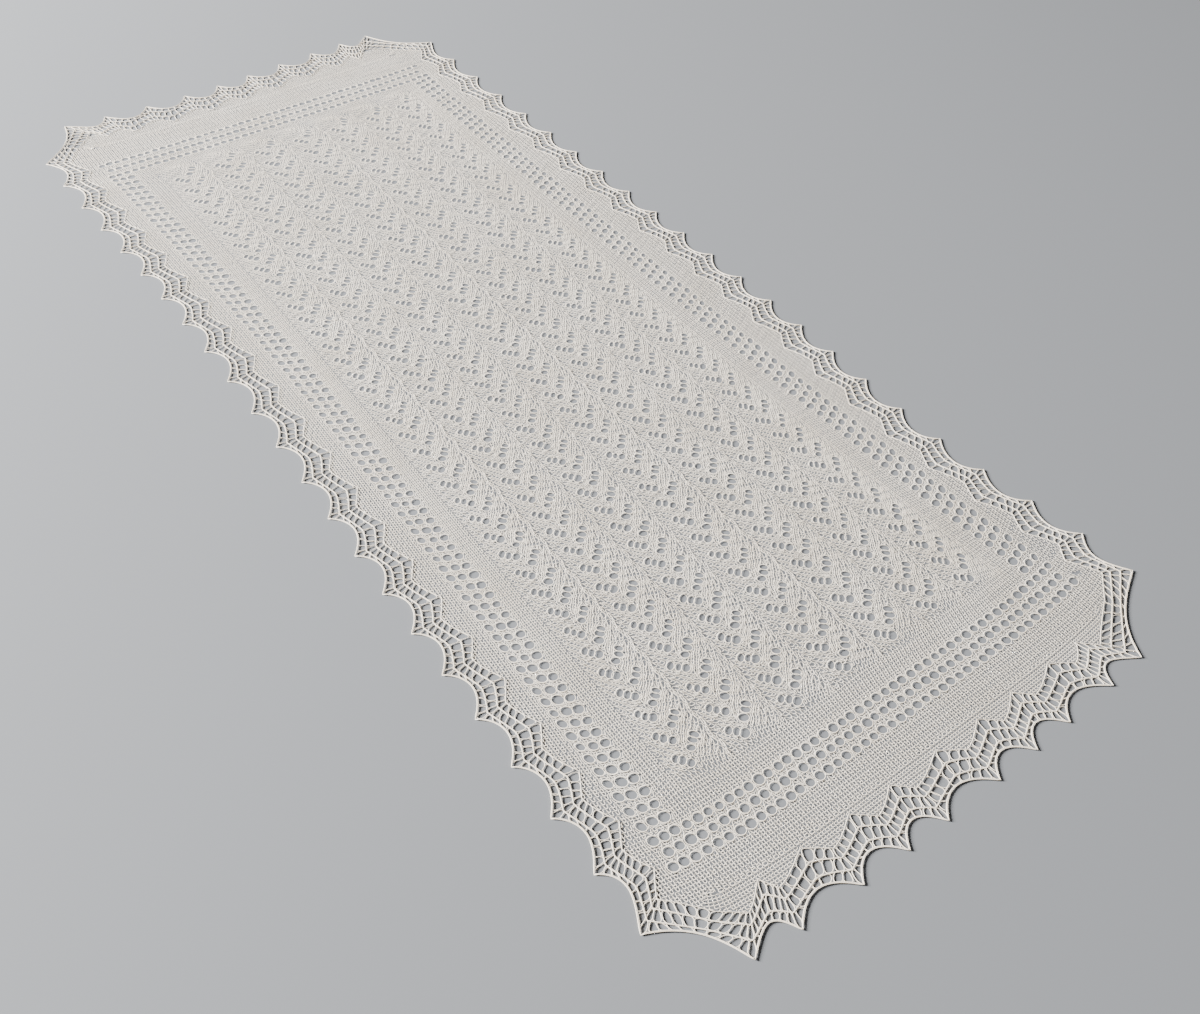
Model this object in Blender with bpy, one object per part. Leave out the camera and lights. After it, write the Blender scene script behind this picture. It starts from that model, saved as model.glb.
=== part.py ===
# Rectangular lace shawl, hand-knitted in one cream wool yarn and laid flat.
# Metres, +Z up. X runs across the shawl and Y along it, and the near end is at -Y.
# The origin is on the surface under the middle of the shawl.
# The plan is drawn in millimetres, with its length counted from the near eyelet row.

import bpy
import bmesh
import math
from collections import namedtuple
from mathutils import Vector
from mathutils.geometry import delaunay_2d_cdt

MILLIMETRE = 0.001

# Cloth
CLOTH_THICKNESS = 1.5
SEAM = 0.3
YARN_CREAM = (0.78, 0.70, 0.57, 1.0)
YARN_ROUGHNESS = 0.9

# Knitted centre: the rectangle through the outer eyelets, and how its sides bow inwards
FRAME_WIDTH = 500.0
FRAME_LENGTH = 1272.0
LEFT_SPREAD_NEAR = 5.0
LEFT_BOW = 17.5
LEFT_BOW_SKEW = 1.2
RIGHT_BOW = 16.0
RIGHT_BOW_SKEW = 0.6
NEAR_ROW_BELLY = 9.5
NEAR_ROW_SQUARENESS = 5
FAR_ROW_BELLY = 4.0
FAR_ROW_SQUARENESS = 3
BELLY_REACH = 1.15

# Line where the edging joins the centre, outside the outer eyelets
JOIN_SIDE = 7.0
JOIN_NEAR = 32.5
JOIN_FAR = 56.0
JOIN_CORNER_RADIUS = 26.0
JOIN_CORNER_STEPS = 4

# Fern panel inside the bands
FIELD_LEFT = -203.0
FIELD_RIGHT = 206.0
FIELD_NEAR = 48.0
FIELD_FAR = 1196.0

# Steps along the bowed lines
WIDTH_STEPS = 12
LENGTH_STEPS = 16

# Where the edgings of the short sides meet those of the long sides
SEAM_LENGTH_NEAR = -6.0
SEAM_LENGTH_FAR = 1296.0
SEAM_IN_SCALLOP = 0.2

# Fern repeats: the large hole of each repeat, cut in every second row
FERN_COLUMNS = 7
FERN_ROWS = 38
FERN_ROWS_PER_CUT = 2
FERN_FIRST_ACROSS = -177.5
FERN_WIDTH = 57.85
FERN_FIRST_ALONG = 67.0
FERN_HEIGHT_NEAR = 27.45
FERN_HEIGHT_GROWTH = 0.066
FERN_HOLE_WIDTH = 6.6
FERN_HOLE_HEIGHT = 6.4
FERN_HOLE_LEAN = 0.25

# Eyelets: the middle row of the three, cut at every third stitch repeat
EYELETS_ACROSS = 46
EYELETS_ALONG = 88
EYELETS_PER_CUT = 3
EYELET_SIZE = 7.2
NEAR_ROW_STEP = 13.7
FAR_ROW_STEP = 17.0
SIDE_COLUMN_STEP = 10.6

# Scalloped edging. A side's points run from its first to its last place, crowded towards one end,
# with a slow wobble as the pins pulled them. The whole side bows inwards, most where the skew puts it.
Side = namedtuple("Side", "name points x0 y0 x1 y1 crowd wobble beat phase bow skew power net_depth")
SIDES = (
    Side("near", 10, -253.0, -95.0, 227.0, -95.0, 0.025, 6.4, 2.14, 2.70, -8.0, 1.0, 0.6, 1.0),
    Side("right", 23, 308.0, -29.0, 312.0, 1327.0, -0.077, 13.3, 0.272, 0.27, 16.0, 0.42, 9.0, 0.85),
    Side("far", 10, -253.0, 1405.0, 237.0, 1405.0, 0.068, 3.3, 1.384, -2.57, 16.0, 0.7, 2.0, 1.2),
    Side("left", 23, -309.0, -27.0, -310.0, 1323.0, -0.064, 5.2, 0.566, -0.29, 13.0, 1.5, 2.0, 0.85),
)
SCALLOP_DEPTH = 18.0
CORNER_SHALLOWNESS = 0.7
SCALLOP_STEPS = 8

# Largest gap of the net, behind the middle of each scallop
NET_GAP_DEPTH = 46.0
NET_GAP_WIDTH = 8.4
NET_GAP_HEIGHT = 10.5

HOLE_SIDES = 6

# How the plan is triangulated: loops inside the outline stay open
TRIANGLES_WITH_HOLES = 2
SAME_POINT = 0.0001


# The plan's bowed grid
def belly(across, squareness):
    reach = min(abs(2.0 * across - 1.0), BELLY_REACH)
    return 1.0 - reach ** squareness


def left_column(along):
    share = min(max(along / FRAME_LENGTH, 0.0), 1.0)
    spread = LEFT_SPREAD_NEAR * (1.0 - share)
    return -FRAME_WIDTH / 2 - spread + LEFT_BOW * math.sin(math.pi * share ** LEFT_BOW_SKEW)


def right_column(along):
    share = min(max(along / FRAME_LENGTH, 0.0), 1.0)
    return FRAME_WIDTH / 2 - RIGHT_BOW * math.sin(math.pi * share ** RIGHT_BOW_SKEW)


def on_plan(across, along):
    """Place of a point of the even grid on the bowed plan of the laid shawl."""
    part = across / FRAME_WIDTH + 0.5
    share = min(max(along / FRAME_LENGTH, 0.0), 1.0)
    left = left_column(along)
    right = right_column(along)
    near = -NEAR_ROW_BELLY * belly(part, NEAR_ROW_SQUARENESS) * (1.0 - share)
    far = -FAR_ROW_BELLY * belly(part, FAR_ROW_SQUARENESS) * share
    return Vector((left + (right - left) * part, along + near + far))


def straight(start, end, steps):
    """Points of a line of the even grid, without its last point."""
    line = []
    for step in range(steps):
        part = step / steps
        line.append((start[0] + (end[0] - start[0]) * part, start[1] + (end[1] - start[1]) * part))
    return line


def length_stations():
    """Lengths at which every line along the shawl has a point, so that neighbours run in step."""
    stations = [0.0, SEAM_LENGTH_NEAR, FRAME_LENGTH, SEAM_LENGTH_FAR]
    for step in range(LENGTH_STEPS + 1):
        stations.append(FIELD_NEAR + (FIELD_FAR - FIELD_NEAR) * step / LENGTH_STEPS)
    return sorted(stations)


def lengthways(across, start, end):
    """Line along the shawl at one place across, without its last point."""
    low, high = min(start, end) + SEAM, max(start, end) - SEAM
    between = [along for along in length_stations() if low < along < high]
    if start > end:
        between.reverse()
    return [(across, along) for along in [start] + between]


def join_corner(side_x, side_y, out):
    """Rounded corner of the join line, from the short side to the long side."""
    along = FRAME_LENGTH + JOIN_FAR if side_y > 0 else -JOIN_NEAR
    centre_x = side_x * (FRAME_WIDTH / 2 + JOIN_SIDE - JOIN_CORNER_RADIUS)
    centre_y = along - side_y * JOIN_CORNER_RADIUS
    radius = JOIN_CORNER_RADIUS + out
    arc = []
    for step in range(JOIN_CORNER_STEPS + 1):
        angle = math.pi / 2 * step / JOIN_CORNER_STEPS
        arc.append((centre_x + side_x * radius * math.sin(angle), centre_y + side_y * radius * math.cos(angle)))
    return arc


def join_end(side_y, side_start, out):
    """Join line round one short end, from the left long side to the right one."""
    left = join_corner(-1, side_y, out)
    right = join_corner(1, side_y, out)
    line = lengthways(left[-1][0], side_start, left[-1][1])
    line += left[:0:-1]
    line += straight(left[0], right[0], WIDTH_STEPS)
    line += right[:-1]
    line += lengthways(right[-1][0], right[-1][1], side_start)
    line.append((right[-1][0], side_start))
    return line


# Scalloped edge
def side_points(side):
    points = []
    for index in range(side.points):
        part = index / (side.points - 1)
        moved = part + side.crowd * part * (1.0 - part)
        pull = side.wobble * math.sin(side.beat * index + side.phase)
        inwards = side.bow * abs(math.sin(math.pi * part ** side.skew)) ** side.power
        x = side.x0 + (side.x1 - side.x0) * moved
        y = side.y0 + (side.y1 - side.y0) * moved
        if side.name in ("near", "far"):
            x += pull
            y += inwards if side.name == "near" else -inwards
        else:
            y += pull
            x += inwards if side.name == "left" else -inwards
        points.append(Vector((x, y)))
    return points if side.name in ("near", "right") else points[::-1]


def scallop_table():
    """Tip and net depth of every scallop, once round the shawl from the near left corner."""
    tips = []
    depths = []
    starts = []
    for side in SIDES:
        starts.append(len(tips))
        for point in side_points(side):
            tips.append(point)
            depths.append(side.net_depth)
    return tips, depths, starts


TIPS, DEPTHS, SIDE_STARTS = scallop_table()


def middle_of_tips():
    """Middle of the whole shawl, which stands over the origin."""
    across = [tip.x for tip in TIPS]
    along = [tip.y for tip in TIPS]
    return Vector(((min(across) + max(across)) / 2, (min(along) + max(along)) / 2))


MIDDLE = middle_of_tips()


def inwards_of(index):
    """Direction from a scallop's chord towards the middle of the shawl."""
    chord = TIPS[(index + 1) % len(TIPS)] - TIPS[index % len(TIPS)]
    return Vector((-chord.y, chord.x)).normalized()


def edge_point(place, depth_at_tip, depth_at_middle, power):
    """Point at a place counted in scallops round the edge, at a depth inside the line of tips."""
    index = math.floor(place) % len(TIPS)
    part = place - math.floor(place)
    after = (index + 1) % len(TIPS)
    if after in SIDE_STARTS:
        depth_at_middle *= CORNER_SHALLOWNESS
    lean = abs(2.0 * part - 1.0)
    turned = inwards_of(index - 1) if part < 0.5 else inwards_of(index + 1)
    normal = (inwards_of(index) * (2.0 - lean) + turned * lean).normalized()
    scale = DEPTHS[index] + (DEPTHS[after] - DEPTHS[index]) * part
    depth = depth_at_middle + (depth_at_tip - depth_at_middle) * lean ** power
    return TIPS[index] + (TIPS[after] - TIPS[index]) * part + normal * depth * scale


def outer_line(start, end):
    """Outer edge between two places, with every tip on it."""
    places = [start]
    step = math.floor(start * SCALLOP_STEPS) + 1
    while step < end * SCALLOP_STEPS:
        places.append(step / SCALLOP_STEPS)
        step += 1
    places.append(end)
    return [edge_point(place, 0.0, SCALLOP_DEPTH, 2) for place in places]


def seam_places():
    """Places round the edge where the four edgings meet, in the first scallop of each long side."""
    near_count = SIDES[0].points
    right_count = SIDES[1].points
    far_count = SIDES[2].points
    right_near = near_count + SEAM_IN_SCALLOP
    right_far = near_count + right_count - 1 - SEAM_IN_SCALLOP
    left_far = near_count + right_count + far_count + SEAM_IN_SCALLOP
    left_near = len(TIPS) - 1 - SEAM_IN_SCALLOP
    return right_near, right_far, left_far, left_near


# Holes
def hole(centre, across, along, width, height, lean):
    """Six-sided hole round a centre, with its axes along two directions."""
    outline = []
    for step in range(HOLE_SIDES):
        angle = 2.0 * math.pi * (step + 0.5) / HOLE_SIDES
        x = width / 2 * math.cos(angle) + lean * height / 2 * math.sin(angle)
        y = height / 2 * math.sin(angle)
        outline.append(centre + across * x + along * y)
    return outline


RIGHTWARDS = Vector((1.0, 0.0))
LENGTHWAYS = Vector((0.0, 1.0))


def fern_holes():
    holes = []
    for row in range(0, FERN_ROWS, FERN_ROWS_PER_CUT):
        along = FERN_FIRST_ALONG + FERN_HEIGHT_NEAR * row + FERN_HEIGHT_GROWTH * row * row
        for column in range(FERN_COLUMNS):
            centre = on_plan(FERN_FIRST_ACROSS + FERN_WIDTH * column, along)
            holes.append(hole(centre, RIGHTWARDS, LENGTHWAYS, FERN_HOLE_WIDTH, FERN_HOLE_HEIGHT, FERN_HOLE_LEAN))
    return holes


def eyelet(across, along):
    return hole(on_plan(across, along), RIGHTWARDS, LENGTHWAYS, EYELET_SIZE, EYELET_SIZE, 0.0)


def end_eyelets(along):
    pitch = FRAME_WIDTH / EYELETS_ACROSS
    columns = range(1, EYELETS_ACROSS, EYELETS_PER_CUT)
    return [eyelet(-FRAME_WIDTH / 2 + pitch * (column + 0.5), along) for column in columns]


def side_eyelets(across):
    pitch = FRAME_LENGTH / EYELETS_ALONG
    holes = []
    for row in range(1, EYELETS_ALONG, EYELETS_PER_CUT):
        along = pitch * (row + 0.5)
        if FIELD_NEAR + EYELET_SIZE < along < FIELD_FAR - EYELET_SIZE:
            holes.append(eyelet(across, along))
    return holes


def net_gaps(start, end):
    """The largest gap of each scallop whose middle lies between two places of the edge."""
    gaps = []
    for index in range(math.ceil(start - 0.5), math.floor(end - 0.5) + 1):
        middle = edge_point(index + 0.5, NET_GAP_DEPTH, NET_GAP_DEPTH, 1)
        inwards = inwards_of(index)
        sideways = Vector((inwards.y, -inwards.x))
        scale = DEPTHS[index % len(TIPS)]
        gaps.append(hole(middle, inwards, sideways, NET_GAP_HEIGHT * scale, NET_GAP_WIDTH, 0.0))
    return gaps


# Solids
def yarn_material(name):
    material = bpy.data.materials.new(name)
    material.use_nodes = True
    shader = material.node_tree.nodes["Principled BSDF"]
    shader.inputs["Base Color"].default_value = YARN_CREAM
    shader.inputs["Roughness"].default_value = YARN_ROUGHNESS
    shader.inputs["Metallic"].default_value = 0.0
    return material


def cloth(name, outline, holes):
    """Flat cloth inside an outline, with its holes cut through, standing on the surface."""
    points = []
    loops = []
    for loop in [outline] + holes:
        loops.append(list(range(len(points), len(points) + len(loop))))
        points += loop
    verts, _, faces, _, _, _ = delaunay_2d_cdt(points, [], loops, TRIANGLES_WITH_HOLES, SAME_POINT)
    bm = bmesh.new()
    corners = [bm.verts.new(((point - MIDDLE) * MILLIMETRE).to_3d()) for point in verts]
    for face in faces:
        bm.faces.new([corners[corner] for corner in face])
    raised = bmesh.ops.extrude_face_region(bm, geom=bm.faces[:])
    top = [item for item in raised["geom"] if isinstance(item, bmesh.types.BMVert)]
    bmesh.ops.translate(bm, verts=top, vec=(0.0, 0.0, CLOTH_THICKNESS * MILLIMETRE))
    bmesh.ops.recalc_face_normals(bm, faces=bm.faces[:])
    mesh = bpy.data.meshes.new(name)
    bm.to_mesh(mesh)
    bm.free()
    mesh.materials.append(yarn_material(name + "_yarn"))
    piece = bpy.data.objects.new(name, mesh)
    bpy.context.scene.collection.objects.link(piece)
    return piece


def plan_outline(grid_points):
    return [on_plan(across, along) for across, along in grid_points]


def build_field():
    gap = SEAM / 2
    left, right = FIELD_LEFT + gap, FIELD_RIGHT - gap
    near, far = FIELD_NEAR + gap, FIELD_FAR - gap
    outline = straight((left, near), (right, near), WIDTH_STEPS)
    outline += lengthways(right, near, far)
    outline += straight((right, far), (left, far), WIDTH_STEPS)
    outline += lengthways(left, far, near)
    cloth("fern_panel", plan_outline(outline), fern_holes())


def build_end_bands():
    gap = SEAM / 2
    edge = FRAME_WIDTH / 2 + JOIN_SIDE - gap
    near = FIELD_NEAR - gap
    outline = join_end(-1, near, -gap)
    outline += straight((edge, near), (-edge, near), WIDTH_STEPS)[1:]
    cloth("band_near", plan_outline(outline), end_eyelets(NEAR_ROW_STEP))
    far = FIELD_FAR + gap
    outline = join_end(1, far, -gap)
    outline += straight((edge, far), (-edge, far), WIDTH_STEPS)[1:]
    cloth("band_far", plan_outline(outline), end_eyelets(FRAME_LENGTH - FAR_ROW_STEP))


def build_side_bands():
    gap = SEAM / 2
    edge = FRAME_WIDTH / 2 + JOIN_SIDE - gap
    near, far = FIELD_NEAR + gap, FIELD_FAR - gap
    column = FRAME_WIDTH / 2 - SIDE_COLUMN_STEP
    for name, outer, inner, eyelets in (
        ("band_left", -edge, FIELD_LEFT - gap, -column),
        ("band_right", edge, FIELD_RIGHT + gap, column),
    ):
        outline = lengthways(outer, near, far) + [(outer, far)]
        outline += lengthways(inner, far, near) + [(inner, near)]
        cloth(name, plan_outline(outline), side_eyelets(eyelets))


def build_edgings():
    gap = SEAM / 2
    edge = FRAME_WIDTH / 2 + JOIN_SIDE + gap
    right_near, right_far, left_far, left_near = seam_places()
    round_edge = len(TIPS)
    scallop_length = (SIDES[1].y1 - SIDES[1].y0) / (SIDES[1].points - 1)
    step = gap / scallop_length

    inner = plan_outline(join_end(-1, SEAM_LENGTH_NEAR - gap, gap))
    outer = outer_line(left_near + step - round_edge, right_near - step)
    cloth("edging_near", inner + outer[::-1], net_gaps(left_near - round_edge, right_near))

    inner = plan_outline(join_end(1, SEAM_LENGTH_FAR + gap, gap))
    outer = outer_line(right_far + step, left_far - step)
    cloth("edging_far", inner + outer, net_gaps(right_far, left_far))

    near, far = SEAM_LENGTH_NEAR + gap, SEAM_LENGTH_FAR - gap
    for name, across, start, end in (
        ("edging_right", edge, right_near, right_far),
        ("edging_left", -edge, left_far, left_near),
    ):
        first, last = (near, far) if across > 0 else (far, near)
        inner = lengthways(across, first, last) + [(across, last)]
        outer = outer_line(start + step, end - step)
        cloth(name, plan_outline(inner) + outer[::-1], net_gaps(start, end))


def main():
    for piece in list(bpy.data.objects):
        bpy.data.objects.remove(piece, do_unlink=True)
    build_field()
    build_end_bands()
    build_side_bands()
    build_edgings()


main()
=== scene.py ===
import math

import bmesh
import bpy
import numpy as np
from mathutils import Matrix, Vector


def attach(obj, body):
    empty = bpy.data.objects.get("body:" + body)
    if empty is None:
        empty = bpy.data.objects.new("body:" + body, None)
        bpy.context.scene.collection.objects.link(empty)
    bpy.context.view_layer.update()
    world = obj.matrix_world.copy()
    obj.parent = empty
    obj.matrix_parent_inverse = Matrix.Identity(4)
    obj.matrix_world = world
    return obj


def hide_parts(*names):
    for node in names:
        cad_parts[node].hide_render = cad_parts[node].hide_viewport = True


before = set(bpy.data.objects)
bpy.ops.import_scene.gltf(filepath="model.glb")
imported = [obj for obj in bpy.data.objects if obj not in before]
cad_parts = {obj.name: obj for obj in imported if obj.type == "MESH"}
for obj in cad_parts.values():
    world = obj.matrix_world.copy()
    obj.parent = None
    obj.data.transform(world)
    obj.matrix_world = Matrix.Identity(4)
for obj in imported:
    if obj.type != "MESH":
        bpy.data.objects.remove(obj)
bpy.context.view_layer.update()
chance = np.random.default_rng(7)

# The laid plan: bowed sides, and where the edging joins the knitted centre
plan = {
    "width": 500.0,
    "length": 1272.0,
    "leftSpread": 5.0,
    "leftBow": 17.5,
    "leftSkew": 1.2,
    "rightBow": 16.0,
    "rightSkew": 0.6,
    "nearBelly": 9.5,
    "nearSquareness": 5,
    "farBelly": 4.0,
    "farSquareness": 3,
    "bellyReach": 1.15,
    "joinSide": 7.0,
    "joinNear": 32.5,
    "joinFar": 56.0,
    "joinCorner": 26.0,
    "restHeight": 0.9,
    # the rows of the long sides climb towards the net: from where, how softly,
    # and how steeply at some places along the shawl
    "climbFrom": 212.0,
    "climbSoftness": 6.0,
    "climbAt": (30.0, 70.0, 110.0, 250.0, 750.0, 1000.0, 1200.0, 1250.0),
    "climb": (0.0, 0.27, 0.33, 0.34, 0.43, 0.45, 0.25, 0.0),
    # how the laid panel is pulled aside and along: factors of the powers of the place across, each with
    # those of the place along, both counted from the middle; and where the pull fades
    "pullMiddle": 620.0,
    "pullReach": (211.0, 560.0),
    "pullAside": (
        (-0.9, -1.2, 10.9, 4.4),
        (6.3, 1.6, 2.9, -7.9),
        (-1.2, 2.3, -6.2, -3.9),
        (-5.2, 0.2, -4.3, 6.7),
    ),
    "pullAlong": (
        (-3.1, -0.8, 1.6, -0.3),
        (-6.1, -2.6, 0.7, -4.7),
        (6.0, -7.4, -2.2, 5.1),
        (2.9, -11.0, 3.8, 22.5),
    ),
    "pullEnds": (28.0, 64.0, 1185.0, 1236.0),
    "pullSides": (203.0, 228.0),
    "backSteps": 6,  # that find the grid's place of a laid point
}


def smooth(low, high, value):
    part = np.clip((value - low) / (high - low), 0.0, 1.0)
    return part * part * (3.0 - 2.0 * part)


def apart(numbers):
    # From 0 to 1, and never alike for neighbours: yarns that cross can then lie over each other
    return numbers * 0.618 % 1.0


def climb(across, along):
    over = np.maximum(abs(across) - plan["climbFrom"], 0.0)
    return np.interp(along, plan["climbAt"], plan["climb"]) * over * over / (over + plan["climbSoftness"])


def belly(part, squareness):
    return 1.0 - np.minimum(abs(2.0 * part - 1.0), plan["bellyReach"]) ** squareness


def pull(across, along):
    placeX = np.clip(across / plan["pullReach"][0], -1.0, 1.0)
    placeY = np.clip((along - plan["pullMiddle"]) / plan["pullReach"][1], -1.0, 1.0)
    ends = plan["pullEnds"]
    held = smooth(ends[0], ends[1], along) * (1.0 - smooth(ends[2], ends[3], along))
    held = held * (1.0 - smooth(*plan["pullSides"], abs(across)))
    factors = (np.array(plan["pullAside"]), np.array(plan["pullAlong"]))
    return [np.polynomial.polynomial.polyval2d(placeX, placeY, factor) * held for factor in factors]


def onPlan(across, along):
    # Place on the laid plan of a point of the even grid
    aside, onwards = pull(across, along)
    part = across / plan["width"] + 0.5
    share = np.clip(along / plan["length"], 0.0, 1.0)
    left = -plan["width"] / 2 - plan["leftSpread"] * (1.0 - share)
    left = left + plan["leftBow"] * np.sin(math.pi * share ** plan["leftSkew"])
    right = plan["width"] / 2 - plan["rightBow"] * np.sin(math.pi * share ** plan["rightSkew"])
    near = plan["nearBelly"] * belly(part, plan["nearSquareness"]) * (1.0 - share)
    far = plan["farBelly"] * belly(part, plan["farSquareness"]) * share
    return left + (right - left) * part + aside, along - near - far + onwards


def offPlan(x, y):
    # Place on the even grid of a point of the laid plan
    along = y
    for _ in range(plan["backSteps"]):
        x0, _ = onPlan(-plan["width"] / 2 + 0.0 * x, along)
        x1, _ = onPlan(plan["width"] / 2 + 0.0 * x, along)
        across = ((x - x0) / (x1 - x0) - 0.5) * plan["width"]
        _, atY = onPlan(across, along)
        along = along + y - atY
    return across, along


def beyondJoin(across, along):
    # How far a place of the grid lies outside the line where the edging joins
    corner = plan["joinCorner"]
    overX = abs(across) - (plan["width"] / 2 + plan["joinSide"] - corner)
    overY = np.maximum(-plan["joinNear"] + corner - along, along - plan["length"] - plan["joinFar"] + corner)
    outside = np.hypot(np.maximum(overX, 0.0), np.maximum(overY, 0.0))
    return outside + np.minimum(np.maximum(overX, overY), 0.0) - corner


# The points of the edging, side by side round the shawl from the near left corner. Each side: points,
# first and last place, crowding, wobble with its beat and phase, bow with its skew and power, net depth
sides = {
    "near": (10, -253.0, -95.0, 227.0, -95.0, 0.025, 6.4, 2.14, 2.70, -8.0, 1.0, 0.6, 1.0),
    "right": (23, 308.0, -29.0, 312.0, 1327.0, -0.077, 13.3, 0.272, 0.27, 16.0, 0.42, 9.0, 0.85),
    "far": (10, -253.0, 1405.0, 237.0, 1405.0, 0.068, 3.3, 1.384, -2.57, 16.0, 0.7, 2.0, 1.2),
    "left": (23, -309.0, -27.0, -310.0, 1323.0, -0.064, 5.2, 0.566, -0.29, 13.0, 1.5, 2.0, 0.85),
}


def sidePoints(name):
    points, x0, y0, x1, y1, crowd, wobble, beat, phase, bow, skew, power, _ = sides[name]
    index = np.arange(points)
    part = index / (points - 1)
    moved = part + crowd * part * (1.0 - part)
    tug = wobble * np.sin(beat * index + phase)
    inwards = bow * abs(np.sin(math.pi * part ** skew)) ** power
    x = x0 + (x1 - x0) * moved
    y = y0 + (y1 - y0) * moved
    if name in ("near", "far"):
        x, y = x + tug, y + (inwards if name == "near" else -inwards)
    else:
        x, y = x + (inwards if name == "left" else -inwards), y + tug
    line = np.stack([x, y], axis=1)
    return line if name in ("near", "right") else line[::-1]


tips = np.concatenate([sidePoints(name) for name in sides])
netDepths = np.concatenate([np.full(side[0], side[-1]) for side in sides.values()])
sideStarts = np.cumsum([0] + [side[0] for side in sides.values()])[:-1]
tipCount = len(tips)
middle = (tips.min(axis=0) + tips.max(axis=0)) / 2
chords = np.roll(tips, -1, axis=0) - tips
inwardNormals = np.stack([-chords[:, 1], chords[:, 0]], axis=1)
inwardNormals /= np.linalg.norm(inwardNormals, axis=1, keepdims=True)
for _ in range(2):  # the rays turn evenly round the corners
    before, after = (np.roll(inwardNormals, step, axis=0) for step in (1, -1))
    inwardNormals = before + 2.0 * inwardNormals + after
    inwardNormals /= np.linalg.norm(inwardNormals, axis=1, keepdims=True)


def metres(x, y, z):
    return np.stack([x - middle[0], y - middle[1], z + 0.0 * x], axis=-1) / 1000.0


# Strands: one grid of bands, whose every point is then laid along its yarn
yarn = {
    "twist": 0.0024,  # metres to one turn of its plies
    "edgeTilt": 0.8,  # of the normals at the edges of a flat strip, which round it like a yarn
    "samePoint": 1e-6,
    "sameEnds": 1e-7,
    "shortest": 1e-9,
}


def strandGrid(name, strands, steps, around, keep):
    # A flat grid, one row of faces to each side of each strand, and a spare row between strands
    lines = around + 1
    rows = strands * lines - 1
    bm = bmesh.new()
    bmesh.ops.create_grid(bm, x_segments=steps - 1, y_segments=rows, size=0.5)
    bmesh.ops.translate(bm, verts=bm.verts[:], vec=(0.5, 0.5, 0.0))
    bmesh.ops.scale(bm, verts=bm.verts[:], vec=(steps - 1, rows, 1.0))
    spare = []
    for face in bm.faces:
        place = face.calc_center_bounds()
        strand, band = divmod(int(place.y), lines)
        if band == around or (keep is not None and not keep[strand, int(place.x)]):
            spare.append(face)
    bmesh.ops.delete(bm, geom=spare, context="FACES")
    mesh = bpy.data.meshes.new(name)
    bm.to_mesh(mesh)
    bm.free()
    return mesh


def layStrands(name, paths, halfWidth, around, keep=None):
    # Around is 1 for flat strips, or the number of sides of tubes
    strands, steps = paths.shape[:2]
    mesh = strandGrid(name, strands, steps, around, keep)
    places = np.empty(len(mesh.vertices) * 3)
    mesh.vertices.foreach_get("co", places)
    places = np.rint(places.reshape(-1, 3)).astype(int)
    step, strand, band = places[:, 0], places[:, 1] // (around + 1), places[:, 1] % (around + 1)

    ahead = np.gradient(paths, axis=1)
    if np.allclose(paths[:, 0], paths[:, -1], atol=yarn["sameEnds"]):
        ahead[:, 0] = ahead[:, -1] = paths[:, 1] - paths[:, -2]
    ahead[..., 2] = 0.0
    ahead /= np.maximum(np.linalg.norm(ahead, axis=2, keepdims=True), yarn["shortest"])
    sideways = np.stack([-ahead[..., 1], ahead[..., 0], 0.0 * ahead[..., 0]], axis=-1)[strand, step]
    if around == 1:
        lean, lift = 2.0 * band - 1.0, 0.0
    else:
        angle = -2.0 * math.pi * band / around
        lean, lift = np.cos(angle), np.sin(angle)
    width = np.broadcast_to(halfWidth, (strands, steps))[strand, step]
    at = paths[strand, step] + sideways * (lean * width)[:, None]
    at[:, 2] += lift * width
    mesh.vertices.foreach_set("co", at.ravel())

    travelled = np.cumsum(np.linalg.norm(np.diff(paths, axis=1), axis=2), axis=1)
    travelled = np.concatenate([np.zeros((strands, 1)), travelled], axis=1)
    corners = np.empty(len(mesh.loops), dtype=int)
    mesh.loops.foreach_get("vertex_index", corners)
    uv = np.stack([travelled[strand, step] / yarn["twist"], band / around], axis=1)[corners]
    mesh.uv_layers.new(name="yarn").data.foreach_set("uv", uv.ravel())
    mesh.polygons.foreach_set("use_smooth", np.ones(len(mesh.polygons), dtype=bool))
    if around == 1:
        normals = sideways * (lean * yarn["edgeTilt"])[:, None]
        normals[:, 2] = math.sqrt(1.0 - yarn["edgeTilt"] ** 2)
        mesh.normals_split_custom_set_from_vertices(normals)
    else:
        bm = bmesh.new()
        bm.from_mesh(mesh)
        bmesh.ops.remove_doubles(bm, verts=bm.verts[:], dist=yarn["samePoint"])
        bmesh.ops.recalc_face_normals(bm, faces=bm.faces[:])
        bm.to_mesh(mesh)
        bm.free()
    return mesh


def asPiece(name, mesh, material):
    mesh.name = name
    mesh.materials.append(material)
    piece = bpy.data.objects.new(name, mesh)
    bpy.context.scene.collection.objects.link(piece)
    return piece


def join(name, meshes, material):
    parts = [asPiece(name, mesh, material) for mesh in meshes]
    with bpy.context.temp_override(active_object=parts[0], selected_editable_objects=parts):
        bpy.ops.object.join()
    parts[0].name = parts[0].data.name = name
    return parts[0]


# Materials
class Value:
    def __init__(self, finish, socket):
        self.finish, self.socket = finish, socket

    def math(self, operation, *others):
        return self.finish.add("ShaderNodeMath", {"operation": operation}, [self, *others])

    def __add__(self, other):
        return self.math("ADD", other)

    def __mul__(self, other):
        return self.math("MULTIPLY", other)

    __radd__ = __add__
    __rmul__ = __mul__


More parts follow.
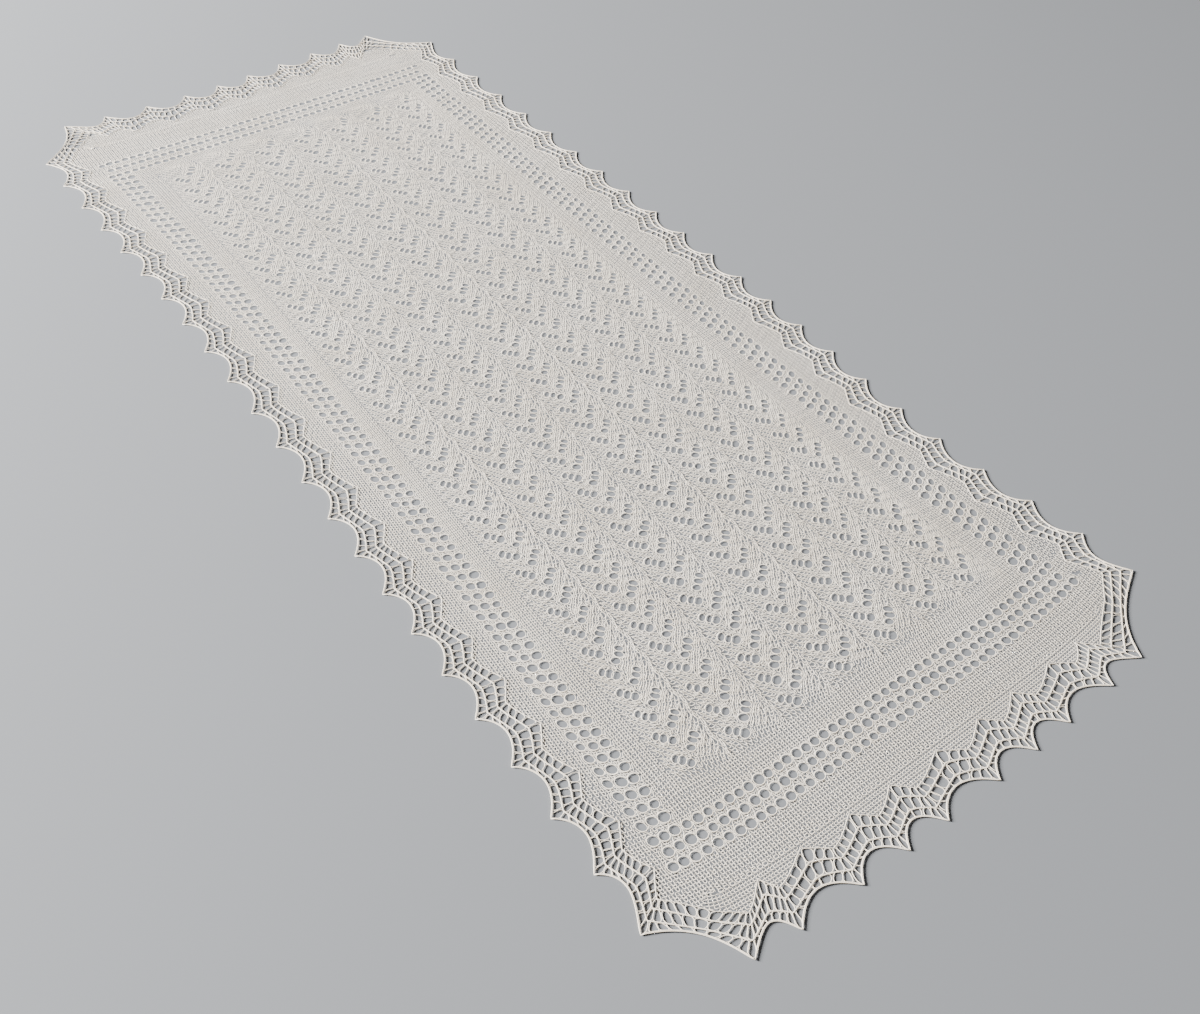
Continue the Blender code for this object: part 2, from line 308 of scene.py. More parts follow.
class Finish:
    def __init__(self, name):
        self.material = bpy.data.materials.new(name)
        self.material.use_nodes = True
        self.tree = self.material.node_tree
        self.shader = self.tree.nodes["Principled BSDF"]

    def put(self, socket, value):
        if isinstance(value, Value):
            self.tree.links.new(value.socket, socket)
        else:
            socket.default_value = value

    def add(self, kind, settings, inputs, output=0):
        node = self.tree.nodes.new(kind)
        for key, setting in settings.items():
            setattr(node, key, setting)
        named = inputs.items() if isinstance(inputs, dict) else enumerate(inputs)
        for key, value in named:
            self.put(node.inputs[key], value)
        return Value(self, node.outputs[output])

    def set(self, **sockets):
        for key, value in sockets.items():
            self.put(self.shader.inputs[key.replace("_", " ")], value)


wool = {
    "cream": (0.85, 0.765, 0.645, 1.0),
    "shade": (0.73, 0.630, 0.490, 1.0),
    "roughness": 0.82,
    "sheen": 0.12,
    "sheenRoughness": 0.5,
    "fluff": 900.0,  # of the fine noise, to the metre
    "fluffDetail": 2.0,
    "patches": 14.0,
    "patchDetail": 3.0,
    "patchTint": 0.6,  # how much the patches and the fluff tint the wool, and over what range
    "fluffTint": 0.4,
    "tintRange": (0.35, 0.65),
    "plyRelief": 0.25,
    "fluffRelief": 0.5,
    "bump": 0.6,
    "plyDepth": 0.00010,
}


def woolYarn(name, plies):
    finish = Finish(name)
    yarnMap = finish.add("ShaderNodeUVMap", {"uv_map": "yarn"}, [])
    along, around = (finish.add("ShaderNodeSeparateXYZ", {}, [yarnMap], axis) for axis in (0, 1))
    ply = (along * (2.0 * math.pi) + around * (2.0 * math.pi * plies)).math("SINE")
    place = finish.add("ShaderNodeTexCoord", {}, [], "Object")
    fluff, patches = (
        finish.add("ShaderNodeTexNoise", {}, {"Vector": place, "Scale": wool[scale], "Detail": wool[detail]})
        for scale, detail in (("fluff", "fluffDetail"), ("patches", "patchDetail"))
    )
    mixed = patches * wool["patchTint"] + fluff * wool["fluffTint"]
    tint = finish.add("ShaderNodeMapRange", {}, [mixed, *wool["tintRange"], 1.0, 0.0])
    colours = {0: tint, 6: wool["cream"], 7: wool["shade"]}
    colour = finish.add("ShaderNodeMix", {"data_type": "RGBA"}, colours, 2)
    height = ply * wool["plyRelief"] + fluff * wool["fluffRelief"]
    relief = {"Strength": wool["bump"], "Distance": wool["plyDepth"], "Height": height}
    finish.set(
        Base_Color=colour,
        Roughness=wool["roughness"],
        Sheen_Weight=wool["sheen"],
        Sheen_Roughness=wool["sheenRoughness"],
        Normal=finish.add("ShaderNodeBump", {}, relief),
    )
    return finish.material


panelYarn = woolYarn("panelYarn", 1)
edgingYarn = woolYarn("edgingYarn", 2)
print("materials ready")

# The knitted centre: rows of yarn across the shawl, stitches side by side along each row.
# Rows are counted from the near eyelets: an eyelet takes 4 rows and a fern repeat 8.
knit = {
    "stitches": 92,  # across the width between the outer eyelets
    "loopSteps": 8,
    "loopBulge": 0.09,  # of a stitch
    "loopHeight": 0.64,  # of a row, up and down
    "relief": 0.25,
    "overlap": 0.16,  # how much higher some of the pressed rows lie
    "halfYarn": 0.31,
    "cover": 0.45,  # share of the cloth that is yarn
    # the slow unevenness of hand knitting: height, reach across, turn from row to row
    "uneven": ((0.35, 17.0, 1.7), (0.30, 7.3, -2.3)),
    "joinTurn": 236.0,  # up to here the rows of the edging stand square to the short sides
    "joinReach": 4.5,  # and the centre's rows run on past the join
    # some rows at each end, and their places along the shawl
    "nearRows": ((-19.0, -65.0), (0.0, 0.0), (8.0, 27.4), (20.0, 67.0)),
    "farRows": ((316.0, 1173.0), (332.0, 1238.0), (340.0, 1272.0), (361.0, 1356.0)),
}
stitchWide = plan["width"] / knit["stitches"]

fern = {
    "columns": 7,
    "repeats": 38,
    "left": -201.2,
    "width": 57.85,
    "firstRow": 20.0,
    "rowsHigh": 8.0,
    "firstAlong": 67.0,
    "heightNear": 27.45,
    "heightGrowth": 0.066,
    "sideFade": (-0.30, 0.02),  # of a repeat, at the outer sides of the panel
    "endFade": 0.6,
    # where the rows of one repeat ride high and low, from its left to its right
    "waveAt": (0.0, 0.06, 0.25, 0.42, 0.50, 0.58, 0.80, 1.0),
    "wave": (0.0, 0.30, 0.66, 0.93, 1.0, 0.93, 0.52, 0.0),
    "waveHeight": 10.5,
    "waveMiddle": 0.4,
    # stitches are made at the middle of a repeat and lost at its sides, so they lean outwards
    "lean": 2.03,  # millimetres for one row
    "middle": (0.36, 0.58),
    # the ridge between two columns, where stitches are knitted together
    "ridgeReach": 6.0,
    "ridgeWidth": 4.0,
    "ridgeFade": (0.2, 0.6),  # of a repeat, towards the outer sides of the panel
    "ridgeCrowd": 1.4,
    "ridgeWander": 1.5,
    "ridgeHeight": 0.6,
    "ridgeBeat": (0.35, 1.0),  # how much its height changes in each repeat, and the phase
    # stitches that lean left and right
    "loopsLeft": -0.04,
    "loopsRight": 0.10,
    "drawnLeft": 0.10,  # how the two legs of a stitch draw together, of a stitch
    "tallLeft": 0.30,  # and its head stands up from a flat base
    "bulgeRight": 0.04,
    # holes of one repeat: place across, rows up, width, height, lean
    "holes": (
        (0.410, 0.0, 9.0, 8.8, 0.20),
        (0.322, 1.5, 7.6, 8.2, 0.35),
        (0.240, 2.9, 7.3, 8.0, 0.35),
        (0.570, 3.9, 8.6, 8.2, -0.15),
        (0.678, 5.5, 7.4, 8.6, -0.30),
        (0.757, 6.9, 7.0, 8.2, -0.30),
    ),
}

eyelets = {
    "across": 46,
    "wide": 8.8,
    "high": 8.8,
    # rows of eyelets at the ends: which row of the knitting, and its shift in eyelets
    "ends": ((0.0, 0.0), (4.0, 0.5), (8.0, 0.0), (332.0, 0.0), (336.0, 0.5), (340.0, 0.0)),
    "sideRows": (12.0, 332.0, 4.0),  # first, end and step of those up the long sides
    "columnStep": 10.6,
    # width, height and lean in the columns of the long sides, outer to inner
    "sides": ((7.9, 9.4, 0.15), (9.2, 9.4, 0.1), (9.8, 9.2, 0.0)),
    "joinReach": 238.0,  # small holes along the join of the short sides, one to a stitch
    "joinAlong": (-34.7, 1324.1),
    "joinWide": 3.6,
    "joinHigh": 2.2,
}

hole = {
    "reach": 2.3,  # how far it pushes the yarns aside, in its own radius
    "spare": (4.0, 12.0, 6.0),  # millimetres beyond that reach: along, to the left, to the right
    "calm": (0.55, 1.0),  # where the loops round it flatten
    "clear": 0.35,  # rows pass no nearer than this above or below its centre
    "passes": 3,  # that keep the yarns out of the holes
    "yarnRoom": 0.69,  # that the yarns take up round it
    "kept": 0.92,  # of its radius, where no yarn crosses
    "nearest": (1e-6, 0.05),  # places nearer its centre count as this far from it
    "sizeChange": 0.07,
    "placeChange": 0.042,  # of its height
    "ringSteps": 14,
    "ringHalfYarn": 0.30,
    "ringLift": (0.14, 0.10),  # the least, and how much more some have
}


def rowAlong(row):
    up = (row - fern["firstRow"]) / fern["rowsHigh"]
    inFern = fern["firstAlong"] + fern["heightNear"] * up + fern["heightGrowth"] * up * up
    nearRow, nearAlong = zip(*knit["nearRows"])
    farRow, farAlong = zip(*knit["farRows"])
    along = np.where(row < nearRow[-1], np.interp(row, nearRow, nearAlong), inFern)
    return np.where(row > farRow[0], np.interp(row, farRow, farAlong), along)


def holeTable():
    # Every hole of the centre: across, along, width, height, lean
    table = []
    pitch = plan["width"] / eyelets["across"]
    for row, shift in eyelets["ends"]:
        for column in range(eyelets["across"] + (0 if shift else 1)):
            across = -plan["width"] / 2 + pitch * (column + shift)
            table.append((across, float(rowAlong(row)), eyelets["wide"], eyelets["high"], 0.0))
    for row in np.arange(*eyelets["sideRows"]):
        for number, (wide, high, slant) in enumerate(eyelets["sides"]):
            across = plan["width"] / 2 - eyelets["columnStep"] * number
            along = float(rowAlong(row))
            along += float(climb(across, along))
            for side in (-1.0, 1.0):
                table.append((side * across, along, wide, high, side * slant))
    reach = int(eyelets["joinReach"] / stitchWide)
    for along in eyelets["joinAlong"]:
        for number in range(-reach, reach):
            across = stitchWide * (number + 0.5)
            table.append((across, along, eyelets["joinWide"], eyelets["joinHigh"], 0.0))
    for repeat in range(fern["repeats"]):
        for column in range(fern["columns"]):
            for place, rows, wide, high, slant in fern["holes"]:
                across = fern["left"] + fern["width"] * (column + place)
                along = float(rowAlong(fern["firstRow"] + fern["rowsHigh"] * repeat + rows))
                table.append((across, along, wide, high, slant))
    return np.array(table)


def rowLines(rows, steps):
    # Every row before its loops: its points, how its stitches lean, and to which side they do,
    # how high its loops are, and how far the row is raised
    across = (-plan["width"] / 2 + stitchWide * steps / knit["loopSteps"])[None, :] + 0.0 * rows[:, None]
    along = rowAlong(rows)[:, None] + 0.0 * across
    repeatPlace = (across - fern["left"]) / fern["width"]
    fromSides = np.minimum(repeatPlace, fern["columns"] - repeatPlace)
    up = (rows[:, None] - fern["firstRow"]) / fern["rowsHigh"]
    inPanel = smooth(*fern["sideFade"], fromSides)
    begun = smooth(-fern["endFade"], 0.0, np.minimum(up, fern["repeats"] - up))
    part = repeatPlace - np.floor(repeatPlace)
    wave = np.interp(part, fern["waveAt"], fern["wave"]) - fern["waveMiddle"]
    along = along + wave * fern["waveHeight"] * inPanel * begun + climb(across, along)

    offRidge = (part - np.rint(part)) * fern["width"]
    side = (2.0 * smooth(*fern["middle"], part) - 1.0) * smooth(0.0, fern["ridgeReach"], abs(offRidge))
    side = side * begun * (fromSides > 0.0)
    turns = (rows * fern["lean"] / stitchWide + 0.5) % 1.0 - 0.5
    ridgeFade = smooth(*fern["ridgeFade"], fromSides)
    atRidge = np.exp(-0.5 * (offRidge / fern["ridgeWidth"]) ** 2) * begun * ridgeFade
    wander = fern["ridgeWander"] * np.sin(2.0 * math.pi * up)
    crowd = fern["ridgeCrowd"] * offRidge / fern["ridgeReach"]
    across = across + turns[:, None] * stitchWide * side + (wander - crowd) * atRidge
    for height, reach, turn in knit["uneven"]:
        along = along + height * np.sin(across / reach + rows[:, None] * turn)

    leftwards, rightwards = np.maximum(-side, 0.0), np.maximum(side, 0.0)
    loops = knit["loopHeight"] + fern["loopsLeft"] * leftwards + fern["loopsRight"] * rightwards
    beat, phase = fern["ridgeBeat"]
    lift = fern["ridgeHeight"] * atRidge ** 3 * (1.0 - beat + beat * np.sin(2.0 * math.pi * up + phase))
    return across, along, fern["lean"] * side, leftwards, rightwards, loops, lift


def holesNear(openings, across, along, leftStep):
    # Each hole that the rows reach, with the part of them that lies near it
    firstAlong, lastAlong = along.min(axis=1), along.max(axis=1)
    spareAlong, spareLeft, spareRight = hole["spare"]
    near = []
    for centreAcross, centreAlong, width, height, slant in openings:
        span = hole["reach"] * max(width, height) / 2
        low = np.searchsorted(lastAlong, centreAlong - span - spareAlong)
        high = np.searchsorted(firstAlong, centreAlong + span + spareAlong)
        left, right = (
            int((centreAcross + reach + plan["width"] / 2) / stitchWide * knit["loopSteps"]) - leftStep
            for reach in (-span - spareLeft, span + spareRight)
        )
        left, right = max(left, 0), min(right, across.shape[1])
        if low < high and left < right:
            opening = (centreAcross, centreAlong, width / 2, height / 2, slant)
            near.append(((slice(low, high), slice(left, right)), opening))
    return near


def fromCentre(opening, x, y):
    # How far over and up from a hole's centre, in its own radii
    centreAcross, centreAlong, halfWide, halfHigh, slant = opening
    up = (y - centreAlong) / halfHigh
    return (x - centreAcross - slant * up * halfHigh) / halfWide, up


def outwards(opening, over, up):
    # The same in millimetres
    _, _, halfWide, halfHigh, slant = opening
    return over * halfWide + slant * up * halfHigh, up * halfHigh


def passHoles(near, across, along):
    # Each row passes above or below a hole, and its loops are calm there
    calm = np.ones_like(across)
    for part, opening in near:
        over, up = fromCentre(opening, across[part], along[part])
        atCentre = np.argmin(abs(over), axis=1)[:, None]
        side = np.where(np.take_along_axis(up, atCentre, axis=1) >= 0.0, 1.0, -1.0)
        clear = hole["clear"] * np.sqrt(np.maximum(1.0 - over * over, 0.0))
        moved = np.where(abs(over) < 1.0, side * np.maximum(side * up, clear), up)
        calm[part] = np.minimum(calm[part], smooth(*hole["calm"], np.hypot(over, moved)))
        along[part] += outwards(opening, 0.0, moved - up)[1]
    return calm


def pushAside(near, x, y):
    # All the yarns round the holes make room for them
    nearest = hole["nearest"][0]
    moveX, moveY = np.zeros_like(x), np.zeros_like(y)
    for part, opening in near:
        over, up = fromCentre(opening, x[part], y[part])
        away = np.maximum(np.hypot(over, up), nearest)
        push = np.maximum(1.0 - away / hole["reach"], 0.0) ** 2 / away
        outX, outY = outwards(opening, over, up)
        moveX[part] += push * outX
        moveY[part] += push * outY
    return x + moveX, y + moveY


def clearHoles(near, x, y, beyond):
    # What still lies in a hole goes to its rim, and what crosses it is marked as not a number
    nearest = hole["nearest"][1]
    for part, opening in near * hole["passes"]:
        over, up = fromCentre(opening, x[part], y[part])
        push = np.maximum(1.0 / np.maximum(np.hypot(over, up), nearest) - 1.0, 0.0)
        outX, outY = outwards(opening, over, up)
        x[part] += push * outX
        y[part] += push * outY
    for part, opening in near:
        halfway = ((value[part][:, :-1] + value[part][:, 1:]) / 2 for value in (x, y))
        over, up = fromCentre(opening, *halfway)
        beyond[part][:, :-1][over * over + up * up < hole["kept"] ** 2] = math.nan


def knitRows(firstRow, lastRow, leftStep, rightStep, openings):
    # Points of the rows on the plan, and how far each lies beyond the join with the edging
    rows = np.arange(firstRow, lastRow) + 0.5
    steps = np.arange(leftStep, rightStep + 1)
    across, along, lean, leftwards, rightwards, loops, lift = rowLines(rows, steps)
    rowHeight = (rowAlong(rows + 0.5) - rowAlong(rows - 0.5))[:, None]
    turn = (2.0 * math.pi * steps / knit["loopSteps"])[None, :]
    loopUp = loops * rowHeight * (np.cos(turn) + fern["tallLeft"] * leftwards * np.cos(2.0 * turn))
    bulge = knit["loopBulge"] + fern["bulgeRight"] * rightwards
    loopAcross = bulge * np.sin(2.0 * turn) - fern["drawnLeft"] * leftwards * np.sin(turn)
    loopAcross = loopAcross * stitchWide + lean * loopUp / rowHeight

    near = holesNear(openings, across, along, leftStep)
    calm = passHoles(near, across, along)
    x, y = across + loopAcross * calm, along + loopUp * calm
    beyond = beyondJoin(x, y) - knit["joinReach"] * (abs(x) < knit["joinTurn"])
    x, y = pushAside(near, x, y)
    clearHoles(near, x, y, beyond)
    x, y = onPlan(x, y)
    z = plan["restHeight"] - knit["relief"] * np.cos(2.0 * turn) * calm
    return x, y, z + lift + knit["overlap"] * apart(rows)[:, None], beyond


def holeRings(name, chosen):
    # The yarn that runs round each hole
    turn = 2.0 * math.pi * np.arange(hole["ringSteps"] + 1) / hole["ringSteps"]
    centreAcross, centreAlong, width, height, slant = (column[:, None] for column in chosen.T)
    up = height / 2 * np.sin(turn)[None, :]
    over = width / 2 * np.cos(turn)[None, :] + slant * up
    x, y = onPlan(centreAcross + over, centreAlong + up)
    least, more = hole["ringLift"]
    lift = least + more * apart(np.arange(len(chosen)))[:, None]
    paths = metres(x, y, plan["restHeight"] + lift)
    return layStrands(name + "Rings", paths, hole["ringHalfYarn"] / 1000.0, 1)


holes = holeTable()
holes[:, 2:4] *= 1.0 + hole["sizeChange"] * chance.standard_normal((len(holes), 1)).clip(-2, 2)
holes[:, 0:2] += hole["placeChange"] * holes[:, 3:4] * chance.standard_normal((len(holes), 2)).clip(-2, 2)
holes[:, 2:4] += hole["yarnRoom"]

# Rows, and steps across, that each piece holds: its name, its node, first and last row, first and last step
leftEdge, rightEdge = -24, 760
fieldLeft, fieldRight = 69, 671
body = (
    ("fernPanelNear", "fern_panel", 14, 118, fieldLeft, fieldRight),
    ("fernPanelMiddle", "fern_panel", 118, 220, fieldLeft, fieldRight),
    ("fernPanelFar", "fern_panel", 220, 322, fieldLeft, fieldRight),
    ("bandNear", "band_near", -10, 14, leftEdge, rightEdge),
    ("bandFar", "band_far", 322, 353, leftEdge, rightEdge),
    ("bandLeft", "band_left", 14, 322, leftEdge, fieldLeft),
    ("bandRight", "band_right", 14, 322, fieldRight, rightEdge),
)
for name, node, first, last, left, right in body:
    x, y, z, beyond = knitRows(first, last, left, right, holes)
    strands = layStrands(name, metres(x, y, z), knit["halfYarn"] / 1000.0, 1, beyond[:, :-1] < 0.0)
    edges = (np.array((left, right)) / knit["loopSteps"] / knit["stitches"] - 0.5) * plan["width"]
    edges = edges.clip(-plan["width"] / 2 - plan["joinSide"], plan["width"] / 2 + plan["joinSide"])
    base = holes[:, 1] - climb(holes[:, 0], holes[:, 1])
    lowest = -math.inf if node == "band_near" else rowAlong(first)
    highest = math.inf if node == "band_far" else rowAlong(last)
    chosen = (holes[:, 0] >= edges[0]) & (holes[:, 0] < edges[1]) & (base >= lowest) & (base < highest)
    piece = join(name, [strands, holeRings(name, holes[chosen])], panelYarn)
    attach(piece, "root")
    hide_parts(node)
    "panel_yarn" if node == "fern_panel" else "band_yarn"
    high = float(rowAlong(last) - rowAlong(first)) / 1000.0
    wide = float(edges[1] - edges[0]) / 1000.0
    knit["cover"] * wide * high
    print(name, "knitted,", len(piece.data.polygons) * 2, "triangles")

# The knitted-on edging: short rows of knitting out to the net, three rows of gaps, and the outer line
edging = {
    "gaps": 8,  # of one row of the net, from point to point
    "cornerGaps": 10,
    "crowding": 0.25,  # the gaps narrow towards the points
    "fan": 0.045,  # and lean square to the lines
    "rowPitch": 3.5,
    "rowFan": 0.4,  # share of the outer end in how the rows are spaced
    "rowSteps": 64,  # to one scallop, that measure the spacing
    "rowStart": (3.4, -2.6),  # where the rows begin at the near and far join
    "rowFade": 1.5,  # the loops shrink this close to the net
    "endLoop": 0.3,  # to this share of their height
    "shortest": 0.05,
    "stitch": 5.4,
    "loopHeight": 0.56,
    "longestRow": 52,
    "lineSteps": 32,
    # lines from the outer edge inwards: depth at a point and between points, roundness,
    # where it is deepest, half width, how far apart its two strands lie
    "lines": (
        (-0.8, 18.0, 2.0, 0.46, 0.42, 0.40),
        (14.0, 25.0, 1.35, 0.56, 0.34, 0.26),
        (26.5, 38.5, 1.15, 0.60, 0.34, 0.26),
        (36.5, 52.0, 1.0, 0.62, 0.34, 0.0),
    ),
    "lineMeets": (0.9, 1.0),  # the two strands come together at a point
    "lineLift": 0.1,
    "ringSteps": 14,
    "ringSquareness": 2.7,
    "ringFit": (0.97, 0.99),
    "ringHalfYarn": 0.34,
    "ringLift": -0.1,
    # the share of a gap that chance changes, and of that: its place along, its width, its depth, its height
    "ringChange": 0.06,
    "ringChanges": (1.0, 0.5, 0.3, 0.4),
    "cornerShallowness": 0.62,
    "seam": 0.1875,
    "joinSteps": 4,
    "joinNudge": 0.5,
    "netSteps": 16,
    # the flat sheet: width, length of one scallop in metres, and share of it that is yarn
    "sheetWide": 0.055,
    "sheetLong": 0.057,
    "cover": 0.47,
}


def edgeRay(place):
    index = np.floor(place).astype(int) % tipCount
    part = (place - np.floor(place))[..., None]
    after = (index + 1) % tipCount
    lean = abs(2.0 * part - 1.0)
    turned = np.where(part < 0.5, inwardNormals[index - 1], inwardNormals[after])
    normal = inwardNormals[index] * (2.0 - lean) + turned * lean
    normal = normal / np.linalg.norm(normal, axis=-1, keepdims=True)
    start = tips[index] + chords[index] * part
    scale = netDepths[index] + (netDepths[after] - netDepths[index]) * part[..., 0]
    shallow = np.where(np.isin(after, sideStarts), edging["cornerShallowness"], 1.0)
    return start, normal, part[..., 0], scale, shallow


def linePoint(line, place):
    atTip, between, power, deepest = edging["lines"][line][:4]
    start, normal, part, scale, shallow = edgeRay(place)
    lean = abs(2.0 * part ** (math.log(0.5) / math.log(deepest)) - 1.0)
    depth = (between * shallow + (atTip - between * shallow) * lean ** power) * scale
    return start + normal * depth[..., None]


def ontoJoin(point):
    # Where the row of knitting from a point of the edging meets the centre
    nudge = edging["joinNudge"]
    for _ in range(edging["joinSteps"]):
        x, y = point[..., 0], point[..., 1]
        away = beyondJoin(*offPlan(x, y))
        slope = [beyondJoin(*offPlan(x + nudge, y)) - away, beyondJoin(*offPlan(x, y + nudge)) - away]
        slope = np.stack(slope, axis=-1) / nudge
        steepness = (slope ** 2).sum(axis=-1)[..., None]
        point = point - slope * away[..., None] / steepness
    return point, slope / np.sqrt(steepness)


def edgingLines(name, first, last):
    meshes = []
    place = np.linspace(first, last, int(round((last - first) * edging["lineSteps"])) + 1)
    atPoint = smooth(*edging["lineMeets"], abs(2.0 * (place - np.floor(place)) - 1.0))
    height = plan["restHeight"] + edging["lineLift"]
    for line, (_, _, _, _, half, apartBy) in enumerate(edging["lines"]):
        at = linePoint(line, place)
        ahead = np.gradient(at, axis=0)
        ahead /= np.linalg.norm(ahead, axis=1, keepdims=True)
        sideways = np.stack([-ahead[:, 1], ahead[:, 0]], axis=1) * (apartBy * (1.0 - atPoint))[:, None]
        strands = [at + sideways, at - sideways] if apartBy else [at]
        paths = np.array([metres(strand[:, 0], strand[:, 1], height) for strand in strands])
        meshes.append(layStrands(name + "Line", paths, half / 1000.0, 4))
    return meshes


def edgingRings(name, first, last):
    # The strand round each gap of the net, between one line and the next
    number, gaps = [], []
    for scallop in range(math.floor(first), math.ceil(last)):
        count = edging["cornerGaps"] if (scallop + 1) % tipCount in sideStarts else edging["gaps"]
        places = scallop + np.arange(count) / count
        places = places[(places >= first) & (places <= last)]
        number.append(places)
        gaps.append(np.full(len(places), count))
    number = np.concatenate(number)[:, None]
    gaps = np.concatenate(gaps)[:, None]
    turn = 2.0 * math.pi * np.arange(edging["ringSteps"] + 1) / edging["ringSteps"]
    power = 2.0 / edging["ringSquareness"]
    over, up = (np.sign(wave) * abs(wave) ** power for wave in (np.cos(turn), np.sin(turn)))
    halfWide, halfDeep = (fit / 2 for fit in edging["ringFit"])
    changes = edging["ringChange"] * np.array(edging["ringChanges"])[:, None, None]
    paths = []
    for line in range(3):
        moved, wider, deeper, taller = changes * chance.standard_normal((4, len(number), 1)).clip(-2, 2)
        place = number + (moved + (halfWide + wider) * over[None, :]) / gaps
        deep = 0.5 + deeper + (halfDeep + taller) * up[None, :]
        turnPlace = np.sin(2.0 * math.pi * (place - np.floor(place)))
        place = place - edging["crowding"] / (2.0 * math.pi) * turnPlace
        place = place - edging["fan"] * (2.0 * deep - 1.0) * turnPlace
        outer, inner = linePoint(line, place), linePoint(line + 1, place)
        at = outer + (inner - outer) * deep[..., None]
        paths.append(metres(at[..., 0], at[..., 1], plan["restHeight"] + edging["ringLift"]))
    return layStrands(name + "Rings", np.concatenate(paths), edging["ringHalfYarn"] / 1000.0, 4)


def edgingKnit(name, first, last, start):
    # Short rows that stand square to the join of a short side and end at the net
    fine = np.linspace(first, last, int(round((last - first) * edging["rowSteps"])) + 1)
    outer = linePoint(3, fine)
    spacing = [np.linalg.norm(np.diff(line, axis=0), axis=1) for line in (ontoJoin(outer)[0], outer)]
    spacing = (1.0 - edging["rowFan"]) * spacing[0] + edging["rowFan"] * spacing[1]
    travelled = np.concatenate([[0.0], np.cumsum(spacing)])
    rows = int(round(travelled[-1] / edging["rowPitch"]))
    halves = np.interp(np.linspace(0.0, travelled[-1], 2 * rows + 1), travelled, fine)
    before, place, after = halves[:-1:2], halves[1::2], halves[2::2]

    outer = linePoint(3, place)
    inner, out = ontoJoin(outer)
    length = np.linalg.norm(outer - inner, axis=1)[:, None]
    begin = start * (abs(offPlan(inner[:, :1], inner[:, 1:])[0]) < knit["joinTurn"])
    gone = np.arange(edging["longestRow"] + 1)[None, :] * edging["stitch"] / knit["loopSteps"]
    gone = np.minimum(begin + gone, length)

    def rowPoint(at):
        inside, away = ontoJoin(linePoint(3, at))
        return inside[:, None] + away[:, None] * gone[..., None]

    aside = rowPoint(after) - rowPoint(before)
    turn = 2.0 * math.pi * gone / edging["stitch"]
    fade = smooth(0.0, 1.0, (length - gone) / edging["rowFade"])[..., None]
    height = edging["loopHeight"] * (edging["endLoop"] + (1.0 - edging["endLoop"]) * fade)
    bulge = knit["loopBulge"] * edging["stitch"] * fade
    at = rowPoint(place) + aside * height * np.cos(turn)[..., None]
    at = at + out[:, None] * bulge * np.sin(2.0 * turn)[..., None]
    overlap = knit["overlap"] * apart(np.arange(rows))[:, None]
    z = plan["restHeight"] - knit["relief"] * np.cos(2.0 * turn) + overlap
    keep = gone[:, :-1] < length - edging["shortest"]
    return layStrands(name + "Knit", metres(at[..., 0], at[..., 1], z), knit["halfYarn"] / 1000.0, 1, keep)


def withinNet(x, y):
    # Points that lie inside the innermost line of the net
    line = linePoint(3, np.arange(0.0, tipCount, 1.0 / edging["netSteps"]))
    within = np.zeros(x.shape, dtype=bool)
    for (x0, y0), (x1, y1) in zip(line, np.roll(line, -1, axis=0)):
        if y0 != y1:
            within ^= ((y0 > y) != (y1 > y)) & (x < (x1 - x0) * (y - y0) / (y1 - y0) + x0)
    return within


def pastRay(place, x, y):
    # Points that lie past a ray of the edging, going round the shawl
    start, normal = (value[0] for value in edgeRay(np.array([place]))[:2])
    return normal[0] * (y - start[1]) - normal[1] * (x - start[0]) < 0.0


def sideKnit(name, first, last, steps, rows):
    # Along the long sides and round the corners the rows of the centre run on to the net
    x, y, z, beyond = knitRows(*rows, *steps, holes)
    keep = (beyond >= 0.0) & withinNet(x, y) & pastRay(first, x, y) & ~pastRay(last, x, y)
    return layStrands(name + "Knit", metres(x, y, z), knit["halfYarn"] / 1000.0, 1, keep[:, :-1])


# The four edgings meet just past the points at the corners. Each: its name, its node, where it starts and
# ends, its square rows, and the stretches where the centre's rows run on: start, end, steps, rows
seam = edging["seam"]
nearCount, rightCount, farCount = (sides[name][0] for name in ("near", "right", "far"))
seams = (
    -1 - seam,
    nearCount + seam,
    nearCount + rightCount - 1 - seam,
    nearCount + rightCount + farCount + seam,
    tipCount - 1 - seam,
)
leftSteps, rightSteps = (-70, 40), (696, 806)
nearRows, sideRows, farRows = (-19, 0), (-12, 355), (335, 361)
turns = (-0.5, nearCount - 0.5, nearCount + rightCount - 0.5, nearCount + rightCount + farCount - 0.5)
nearStart, farStart = edging["rowStart"]
edgings = (
    ("edgingNear", "edging_near", seams[0], seams[1], (turns[0], turns[1], nearStart),
     ((seams[0], turns[0], leftSteps, nearRows), (turns[1], seams[1], rightSteps, nearRows))),
    ("edgingRight", "edging_right", seams[1], seams[2], None,
     ((seams[1], seams[2], rightSteps, sideRows),)),
    ("edgingFar", "edging_far", seams[2], seams[3], (turns[2], turns[3], farStart),
     ((seams[2], turns[2], rightSteps, farRows), (turns[3], seams[3], leftSteps, farRows))),
    ("edgingLeft", "edging_left", seams[3], seams[4], None,
     ((seams[3], seams[4], leftSteps, sideRows),)),
)
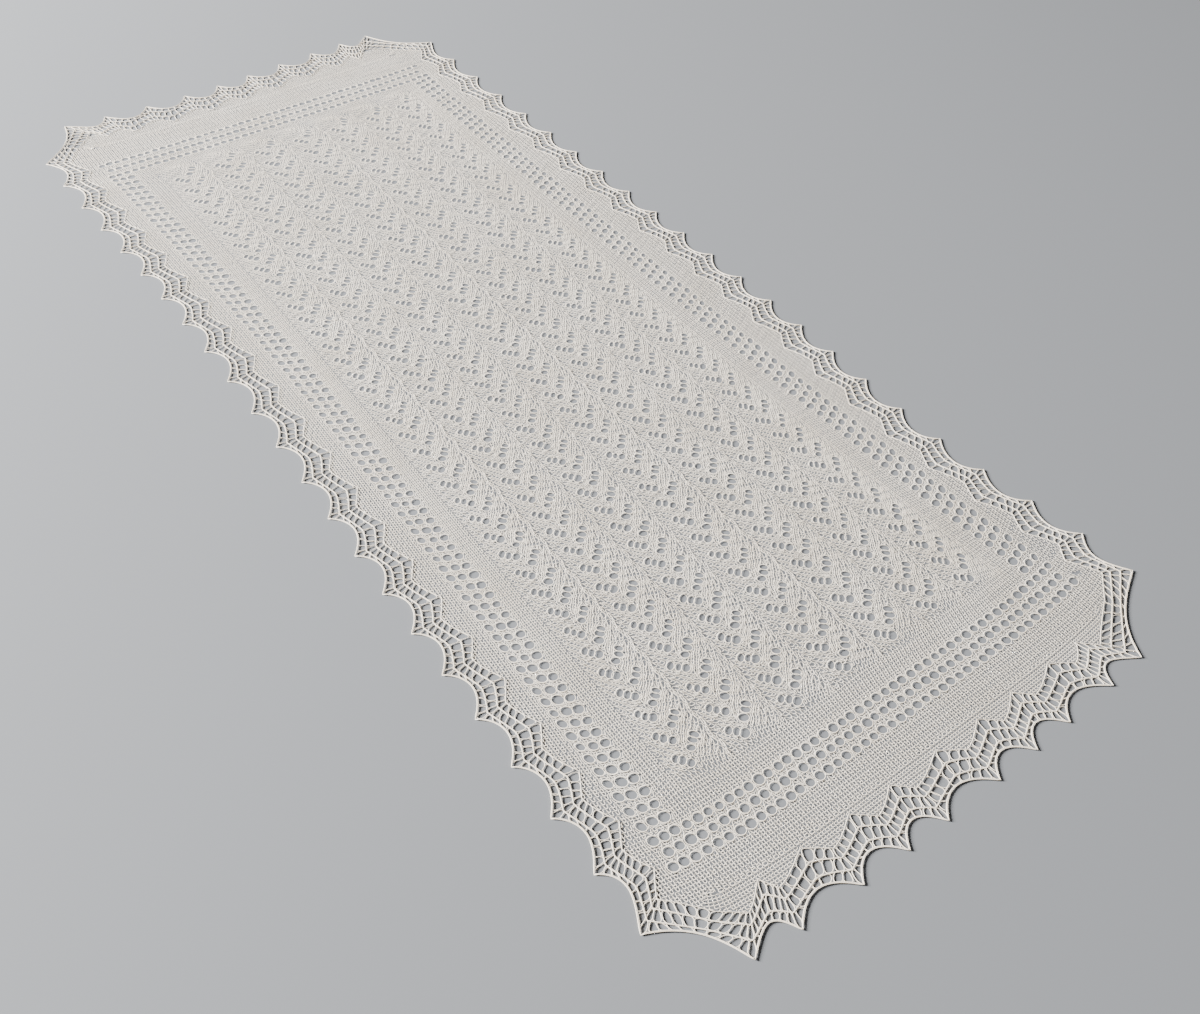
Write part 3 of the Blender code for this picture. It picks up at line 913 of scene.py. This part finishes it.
for name, node, first, last, square, along in edgings:
    meshes = edgingLines(name, first, last) + [edgingRings(name, first, last)]
    if square:
        meshes.append(edgingKnit(name, *square))
    meshes += [sideKnit(name, *part) for part in along]
    piece = join(name, meshes, edgingYarn)
    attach(piece, "root")
    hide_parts(node)
    wide, length = edging["sheetWide"], edging["sheetLong"] * (last - first)
    wide * length * edging["cover"]
    print(name, "knitted,", len(piece.data.polygons) * 2, "triangles")

# Camera at the photograph's angle to the laid shawl
view = {
    "lens": 35.24,
    "sensor": 36.0,
    "place": (-0.56304, -0.30093, 0.89389),
    "right": (0.80488, -0.59331, 0.01240),
    "up": (0.43084, 0.59859, 0.67533),
    "forward": (0.40810, 0.53822, -0.73741),
}
camera = bpy.data.objects.new("camera", bpy.data.cameras.new("camera"))
camera.data.lens = view["lens"]
camera.data.sensor_width = view["sensor"]
axes = Matrix((view["right"], view["up"], [-value for value in view["forward"]])).transposed()
shift = Vector((middle[0], middle[1], 0.0)) / 1000.0
camera.matrix_world = Matrix.Translation(Vector(view["place"]) - shift) @ axes.to_4x4()
bpy.context.scene.collection.objects.link(camera)
bpy.context.scene.camera = camera

# A plain floor, a large soft key light from the far left, and an even sky
room = {
    "floorSize": 12.0,
    "floorColour": (0.15, 0.155, 0.163, 1.0),
    "floorRoughness": 0.9,
    "sky": 0.20,
    "skyColour": (1.0, 1.0, 1.0, 1.0),
    "keyPower": 4000.0,
    "keySize": 2.0,
    "keyPlace": (-4.4, 4.0, 2.4),
}
bm = bmesh.new()
bmesh.ops.create_grid(bm, x_segments=1, y_segments=1, size=room["floorSize"] / 2)
floorMesh = bpy.data.meshes.new("floor")
bm.to_mesh(floorMesh)
bm.free()
floorFinish = Finish("paleFloor")
floorFinish.set(Base_Color=room["floorColour"], Roughness=room["floorRoughness"])
floor = asPiece("floor", floorMesh, floorFinish.material)

world = bpy.data.worlds.new("softRoom")
world.use_nodes = True
world.node_tree.nodes["Background"].inputs["Color"].default_value = room["skyColour"]
world.node_tree.nodes["Background"].inputs["Strength"].default_value = room["sky"]
bpy.context.scene.world = world
key = bpy.data.objects.new("key", bpy.data.lights.new("key", "AREA"))
key.data.energy = room["keyPower"]
key.data.size = room["keySize"]
key.location = room["keyPlace"]
key.rotation_euler = (-Vector(room["keyPlace"])).to_track_quat("-Z", "Y").to_euler()
bpy.context.scene.collection.objects.link(key)
print("camera, floor and light ready")
